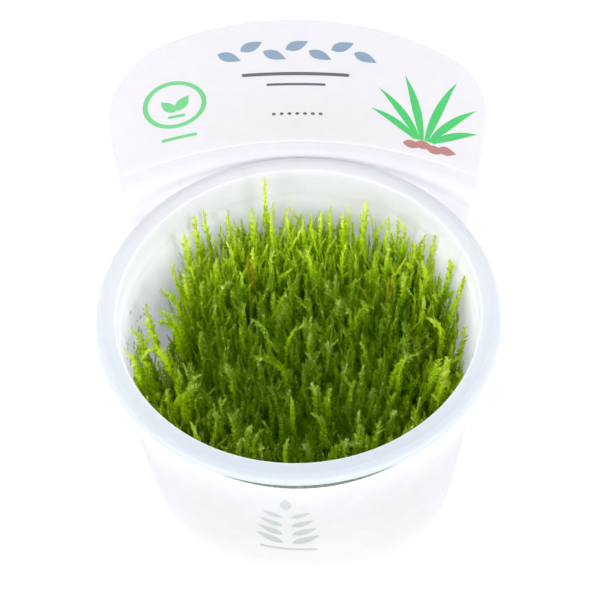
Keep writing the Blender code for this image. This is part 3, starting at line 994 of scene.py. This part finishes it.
class Shoots:
    """Collects the shoots' paths as lines of points, with what the leaves need to know at each."""

    def __init__(self):
        self.points = []
        self.lines = []
        self.facing = []
        self.values = {}

    def add(self, path, chance, leaf_size=1.0, **look):
        """Adds a path. Its leaves spread to the left and right more than to the front and back."""
        turn = math.radians(chance.gauss(0.0, 40.0))
        rows = []
        from_tip = 0.0
        after = path[-1]
        for point in reversed(path):
            from_tip += (after - point).length
            after = point
            thickness = (0.07 + 0.10 * smoothstep(from_tip / (20.0 * MM))) * MM
            sunk = smoothstep((canopy_height(point.x, point.y) - point.z) / (16.0 * MM))
            row = {"from_tip": from_tip, "sunk": sunk, "thickness": thickness, "leaf_size": leaf_size}
            rows.append({**row, **PLAIN_LOOK, **look})
        first = len(self.points)
        self.points += path
        self.lines += [(i, i + 1) for i in range(first, len(self.points) - 1)]
        self.facing += [(math.cos(turn), math.sin(turn), 0.0)] * len(path)
        for row in reversed(rows):
            for name, value in row.items():
                self.values.setdefault(name, []).append(value)

    def mesh(self, name):
        mesh = bpy.data.meshes.new(name)
        mesh.from_pydata(self.points, self.lines, [])
        for attribute, numbers in self.values.items():
            store(mesh, attribute, numbers)
        layer = mesh.attributes.new("facing", "FLOAT_VECTOR", "POINT")
        layer.data.foreach_set("vector", np.ravel(self.facing))
        return mesh


def leaf_mesh():
    """One keeled moss leaf of unit length, a folded sheet that grows along +Z from its base."""
    across = Vector((math.cos(LEAF_TWIST), math.sin(LEAF_TWIST), 0.0)) * LEAF_HALF_WIDTH
    fold = Vector((-math.sin(LEAF_TWIST), math.cos(LEAF_TWIST), 0.0)) * LEAF_FOLD
    middle = Vector((0.0, 0.0, LEAF_WIDEST)) + fold
    corners = [(0, 0, 0), middle + across, middle - across, (0.03, 0, 1)]
    mesh = bpy.data.meshes.new("leaf")
    mesh.from_pydata(corners, [], [(0, 1, 3), (0, 3, 2)])
    store(mesh, "blade", [vert.co.z for vert in mesh.vertices])
    return mesh


def named(tree, name, kind="FLOAT"):
    node = add(tree, "GeometryNodeInputNamedAttribute", {"Name": name}, data_type=kind)
    return node.outputs["Attribute"]


def leafy_tree():
    """Geometry nodes that grow a stem and rows of leaves along each line of a mesh."""
    tree = bpy.data.node_groups.new("leafy_shoots", "GeometryNodeTree")
    tree.interface.new_socket("Shoots", in_out="OUTPUT", socket_type="NodeSocketGeometry")
    lengths = ("Leaf Spacing", "Leaf Length", "Leafy Length", "Leaf Spread", "Leaf Roll")
    kinds = {"Lines": "Geometry", "Leaf": "Object", **dict.fromkeys(lengths, "Float")}
    kinds.update({"Seed": "Int", "Material": "Material"})
    for name, kind in kinds.items():
        tree.interface.new_socket(name, in_out="INPUT", socket_type=f"NodeSocket{kind}")
    given = tree.nodes.new("NodeGroupInput").outputs

    def drawn(low, high, more):
        """A random value for each leaf, from the seed and a number of its own."""
        inputs = {2: low, 3: high, "Seed": calculate(tree, "ADD", given["Seed"], more)}
        return add(tree, "FunctionNodeRandomValue", inputs, data_type="FLOAT").outputs[1]

    curve = add(tree, "GeometryNodeMeshToCurve", {"Mesh": given["Lines"]}).outputs[0]
    ring = add(tree, "GeometryNodeCurvePrimitiveCircle", {"Resolution": 3, "Radius": 1.0}).outputs[0]
    stem_inputs = {"Curve": curve, "Profile Curve": ring, "Scale": named(tree, "thickness")}
    stems = add(tree, "GeometryNodeCurveToMesh", {**stem_inputs, "Fill Caps": True}).outputs[0]
    spot_inputs = {"Curve": curve, "Length": given["Leaf Spacing"]}
    spots = add(tree, "GeometryNodeCurveToPoints", spot_inputs, mode="LENGTH").outputs
    tint_inputs = {"Geometry": spots["Points"], "Name": "tint", "Value": drawn(0.0, 1.0, 2.0)}
    tinted = add(tree, "GeometryNodeStoreNamedAttribute", tint_inputs, data_type="FLOAT", domain="POINT")

    from_tip = named(tree, "from_tip")
    index = add(tree, "GeometryNodeInputIndex").outputs[0]
    side = product(tree, calculate(tree, "MODULO", index, 2.0), math.pi)
    roll = drawn(product(tree, given["Leaf Roll"], -1.0), given["Leaf Roll"], 0.0)
    opening = ranged(tree, from_tip, 0.0, 1.5 * MM, 0.5, 1.0)
    tilt = product(tree, given["Leaf Spread"], opening, named(tree, "spread"))
    turn = add(tree, "ShaderNodeCombineXYZ", {1: tilt, 2: calculate(tree, "ADD", side, roll)}).outputs[0]
    turn = add(tree, "FunctionNodeEulerToRotation", {0: turn}).outputs[0]
    ways = {"Primary Axis": spots["Tangent"], "Secondary Axis": named(tree, "facing", "FLOAT_VECTOR")}
    axes = add(tree, "FunctionNodeAxesToRotation", ways, primary_axis="Z", secondary_axis="Y").outputs[0]
    rotation = add(tree, "FunctionNodeRotateRotation", {0: axes, 1: turn}, rotation_space="LOCAL")

    growth = ranged(tree, from_tip, 0.0, named(tree, "taper"), 0.62, 1.0)
    size = product(tree, given["Leaf Length"], named(tree, "leaf_size"), growth, drawn(0.7, 1.2, 1.0))
    width = product(tree, size, ranged(tree, from_tip, 3.0 * MM, 14.0 * MM, 1.0, 1.7))
    leaf_inputs = {
        "Points": tinted.outputs[0],
        "Selection": calculate(tree, "LESS_THAN", from_tip, given["Leafy Length"]),
        "Instance": add(tree, "GeometryNodeObjectInfo", {"Object": given["Leaf"]}).outputs["Geometry"],
        "Rotation": rotation.outputs[0],
        "Scale": add(tree, "ShaderNodeCombineXYZ", {0: width, 1: width, 2: size}).outputs[0],
    }
    leaves = add(tree, "GeometryNodeInstanceOnPoints", leaf_inputs).outputs[0]
    joined = add(tree, "GeometryNodeJoinGeometry")
    tree.links.new(leaves, joined.inputs[0])
    tree.links.new(stems, joined.inputs[0])
    real = add(tree, "GeometryNodeRealizeInstances", {"Geometry": joined.outputs[0]}).outputs[0]
    finish = {"Geometry": real, "Material": given["Material"]}
    coloured = add(tree, "GeometryNodeSetMaterial", finish).outputs[0]
    add(tree, "NodeGroupOutput", {"Shoots": coloured})
    return tree


def grown(shoots, name, tree, leaf_object, material):
    """The plain mesh of leafy shoots along the collected paths."""
    lines = linked(name, shoots.mesh(name))
    modifier = lines.modifiers.new("leafy_shoots", "NODES")
    modifier.node_group = tree
    values = {
        "Leaf": leaf_object,
        "Leaf Spacing": LEAF_SPACING,
        "Leaf Length": LEAF_LENGTH,
        "Leafy Length": LEAFY_LENGTH,
        "Leaf Spread": LEAF_SPREAD,
        "Leaf Roll": LEAF_ROLL,
        "Seed": MOSS_SEED,
        "Material": material,
    }
    for item in tree.interface.items_tree:
        if item.name in values:
            modifier[item.identifier] = values[item.name]
    return evaluated(lines)


class Moss:
    """The whole growth, collected shoot by shoot in clumps from the back to the front."""

    def __init__(self):
        self.chance = random.Random(MOSS_SEED)
        # Without a seed of its own the vector noise starts from the clock
        noise.seed_set(MOSS_SEED)
        self.clumps = {}

    def clump(self, tip):
        row = "back"
        for name, start in (("middle", CLUMP_GAP_PLACE), ("front", 0.0), ("fore", -20.0 * MM)):
            if tip.y < start:
                row = name
        return self.clumps.setdefault(f"moss_{row}_{'left' if tip.x < 0.0 else 'right'}", Shoots())

    def add_standing_out(self, x, y, over, bend=0.0, droop=0.0):
        """A shoot that stands out by itself, and perhaps a branch close to its tip."""
        chance = self.chance
        tip = over_rim(x, y, over)
        path = shoot_path(tip, chance, bend * MM, droop * MM)
        # Each shoot's tone is random, plus painted light from the white walls.
        shade = chance.uniform(0.3, 1.0) + wall_light(tip.x, tip.y)
        look = {"shade": shade, "bright": chance.random() ** 2}
        at_back = y > 20.0
        taper = (5.0 if at_back else chance.uniform(1.0, 2.5)) * MM
        leaf_size = chance.uniform(1.1, 1.3) * (1.2 if at_back else 1.0)
        spread = 0.75 if at_back else 1.15
        self.clump(tip).add(path, chance, leaf_size, taper=taper, spread=spread, **look)
        if chance.choice((False, False, False, True)):
            self.clump(tip).add(side_shoot(path, chance, True), chance, 0.9, taper=2.0 * MM, **look)

    def add_filling(self, x, y):
        """A shoot of the mass, whose tip stays at or under the canopy."""
        chance = self.chance
        lean = noise.noise_vector(Vector((x, y, 0.0)) / NEIGHBOURHOOD) * SHARED_LEAN
        at_back = smoothstep((y - 10.0 * MM) / (20.0 * MM))
        depth = (2.0 + 3.0 * at_back) * MM + TIP_SPREAD * (1.0 - 0.6 * at_back) * chance.random()
        bend = chance.gauss(0.0, 0.5) * MM
        tip = Vector((x + lean.x + bend, y + lean.y, canopy_height(x, y) - depth))
        path = shoot_path(tip, chance, bend)
        # Each shoot's tone is random, plus painted light from the white walls.
        shade = chance.uniform(0.15, 0.8) + wall_light(tip.x, tip.y)
        look = {"shade": shade, "age": 0.12 * chance.random()}
        taper = (2.0 + 3.0 * smoothstep((y - 10.0 * MM) / (15.0 * MM))) * MM
        self.clump(tip).add(path, chance, chance.uniform(0.9, 1.1), taper=taper, **look)
        if chance.random() < BRANCHED_SHARE:
            self.clump(tip).add(side_shoot(path, chance, False), chance, 0.9, **look)

    def add_old(self, x, y, over):
        """A brown shoot."""
        tip = over_rim(x, y, over)
        self.clump(tip).add(shoot_path(tip, self.chance), self.chance, 1.1, age=0.85)

    def lattice(self, spacing):
        """Places on a loose lattice, fewer of them at the back wall and in the hollows."""
        chance = self.chance
        reach = inner_wall_radius(CUP_HEIGHT - STEP_DEPTH) - 1.2 * MM
        rows = int(reach / (spacing * ROW_SHARE)) + 1
        for row in range(-rows, rows + 1):
            for column in range(-rows - 2, rows + 3):
                x = (column + 0.5 * (row % 2) + chance.uniform(-0.4, 0.4)) * spacing
                y = (row * ROW_SHARE + chance.uniform(-0.36, 0.36)) * spacing
                bare = 0.4 * smoothstep((y - 34.0 * MM) / (4.0 * MM))
                bare = max(bare, smoothstep(0.95 * hollow_share(x, y)))
                if chance.random() > bare and math.hypot(x, y) < reach:
                    yield x, y

    def add_mass(self):
        """Fills the cup: a mass of shoots, and the tall ones that rise out of it."""
        for x, y in self.lattice(SHOOT_GRID):
            self.add_filling(x, y)
        for x, y in self.lattice(TALL_SHOOT_GRID):
            if y < TALL_SHOOTS_END:
                rise = self.chance.uniform(-1.5, 4.0) * smoothstep(0.5 - y / CANOPY_RUN)
                over = (canopy_height(x, y) - CUP_HEIGHT) / MM + rise
                self.add_standing_out(x / MM, y / MM, over, self.chance.gauss(0.0, 0.8))

    def grow(self):
        tree = leafy_tree()
        leaf_object = bpy.data.objects.new("leaf", leaf_mesh())
        material = moss_finish()
        for name, shoots in sorted(self.clumps.items()):
            mesh = grown(shoots, name, tree, leaf_object, material)
            finished(name, mesh, [], "moss_back" if "back" in name else "moss")
        bpy.data.objects.remove(leaf_object)
        make_core(material)


def make_core(material):
    """The close-set shafts and old leaves deep inside the clump, as one lumpy closed mass."""
    reach = inner_wall_radius(CUP_HEIGHT - STEP_DEPTH) - 5.0 * MM
    bm = bmesh.new()
    count = int(reach / CORE_GRID)
    tops = {}
    for i in range(-count, count + 1):
        for j in range(-count, count + 1):
            x, y = i * CORE_GRID, j * CORE_GRID
            away = math.hypot(x, y)
            if away > reach:
                continue
            fall = 22.0 * MM * smoothstep((away / reach - 0.75) / 0.25)
            lumps = 4.0 * MM * noise.noise(Vector((x, y, 0.0)) / (2.6 * MM))
            height = canopy_height(x, y) - CORE_DEPTH - fall + lumps - 14.0 * MM * hollow_share(x, y)
            tops[i, j] = bm.verts.new((x, y, max(height, GEL_TOP + 1.0 * MM)))
    faces = []
    for (i, j), corner in tops.items():
        ring = (corner, tops.get((i + 1, j)), tops.get((i + 1, j + 1)), tops.get((i, j + 1)))
        if None not in ring:
            faces.append(bm.faces.new(ring))
    sides = bmesh.ops.extrude_face_region(bm, geom=faces)["geom"]
    for corner in sides:
        if isinstance(corner, bmesh.types.BMVert):
            corner.co.z = GEL_TOP + 0.4 * MM
    loose = [vert for vert in bm.verts if not vert.link_faces]
    bmesh.ops.delete(bm, geom=loose, context="VERTS")
    bmesh.ops.recalc_face_normals(bm, faces=bm.faces)
    mesh = smooth_mesh("moss_core", bm)
    for name, value in (("from_tip", CORE_DEPTH), ("sunk", 1.0), ("tint", 0.5), ("shade", 0.5)):
        store(mesh, name, [value] * len(mesh.vertices))
    finished("moss_core", mesh, [material], "moss")


def make_moss():
    moss = Moss()
    for place in BACK_TIPS + BENT_TIPS:
        moss.add_standing_out(*place)
    for place in OLD_TIPS:
        moss.add_old(*place)
    moss.add_mass()
    moss.grow()


def make_drops():
    """Small drops of water on the wall inside the cup, at the left."""
    chance = random.Random(DROP_SEED)
    bm = bmesh.new()
    for _ in range(DROP_COUNT):
        angle = math.radians(chance.uniform(158.0, 190.0))
        height = CUP_HEIGHT - chance.uniform(11.0, 22.0) * MM
        size = chance.uniform(0.22, 0.6) * MM
        drop = bmesh.ops.create_icosphere(bm, subdivisions=2, radius=size)["verts"]
        radius = inner_wall_radius(height)
        middle = Vector((radius * math.cos(angle), radius * math.sin(angle), height))
        inwards = -Vector((math.cos(angle), math.sin(angle), 0.0))
        for vert in drop:
            depth = vert.co.dot(inwards)
            vert.co -= inwards * depth * (0.45 if depth > 0.0 else 0.85)
            vert.co.z *= 1.25
            vert.co += middle
    finished("water_drops", smooth_mesh("water_drops", bm), [water_finish()])


# The stage


def make_stage():
    bm = bmesh.new()
    bmesh.ops.create_grid(bm, x_segments=1, y_segments=1, size=FLOOR_SIZE / 2)
    mesh = smooth_mesh("floor", bm)
    mesh.materials.append(floor_finish())
    linked("floor", mesh)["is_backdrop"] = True

    world = bpy.data.worlds.new("studio")
    world.use_nodes = True
    tree = world.node_tree
    way = add(tree, "ShaderNodeTexCoord").outputs["Generated"]
    rise = add(tree, "ShaderNodeSeparateXYZ", {0: way}).outputs[2]
    strength = ranged(tree, rise, 0.0, 0.6, LIGHT_AROUND, LIGHT_ABOVE, smooth=True)
    put(tree.nodes["Background"], "Color", (1.0, 1.0, 1.0, 1.0))
    put(tree.nodes["Background"], "Strength", strength)
    bpy.context.scene.world = world
    for lamp in LAMPS:
        add_lamp(*lamp)


def add_lamp(name, watts, place):
    """A square soft lamp that looks at the middle of the cup's mouth."""
    data = bpy.data.lights.new(name, "AREA")
    data.size = LAMP_SIZE
    data.energy = watts
    lamp = linked(name, data)
    lamp.location = place
    way = Vector((0.0, 0.0, CUP_HEIGHT)) - lamp.location
    lamp.rotation_euler = way.to_track_quat("-Z", "Y").to_euler()


def make_camera():
    data = bpy.data.cameras.new("camera")
    data.lens = CAMERA_LENS
    data.clip_start = CAMERA_CLIP_START
    camera = linked("camera", data)
    camera.location = CAMERA_PLACE
    camera.rotation_euler = [math.radians(turn) for turn in CAMERA_TURN]
    bpy.context.scene.camera = camera
    bpy.context.scene.view_settings.view_transform = "Standard"


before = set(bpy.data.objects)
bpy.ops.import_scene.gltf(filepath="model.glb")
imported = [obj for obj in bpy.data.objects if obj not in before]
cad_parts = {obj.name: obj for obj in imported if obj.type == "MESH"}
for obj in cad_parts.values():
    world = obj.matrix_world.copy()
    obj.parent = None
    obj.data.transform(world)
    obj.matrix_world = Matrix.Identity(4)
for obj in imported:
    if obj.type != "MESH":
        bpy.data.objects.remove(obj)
cad_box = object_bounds()
make_camera()
make_stage()
make_cup()
make_gel()
make_sleeve()
make_moss()
make_drops()
boxes = {"cad": cad_box, "visual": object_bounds()}
{name: [list(corner) for corner in box] for name, box in boxes.items()}
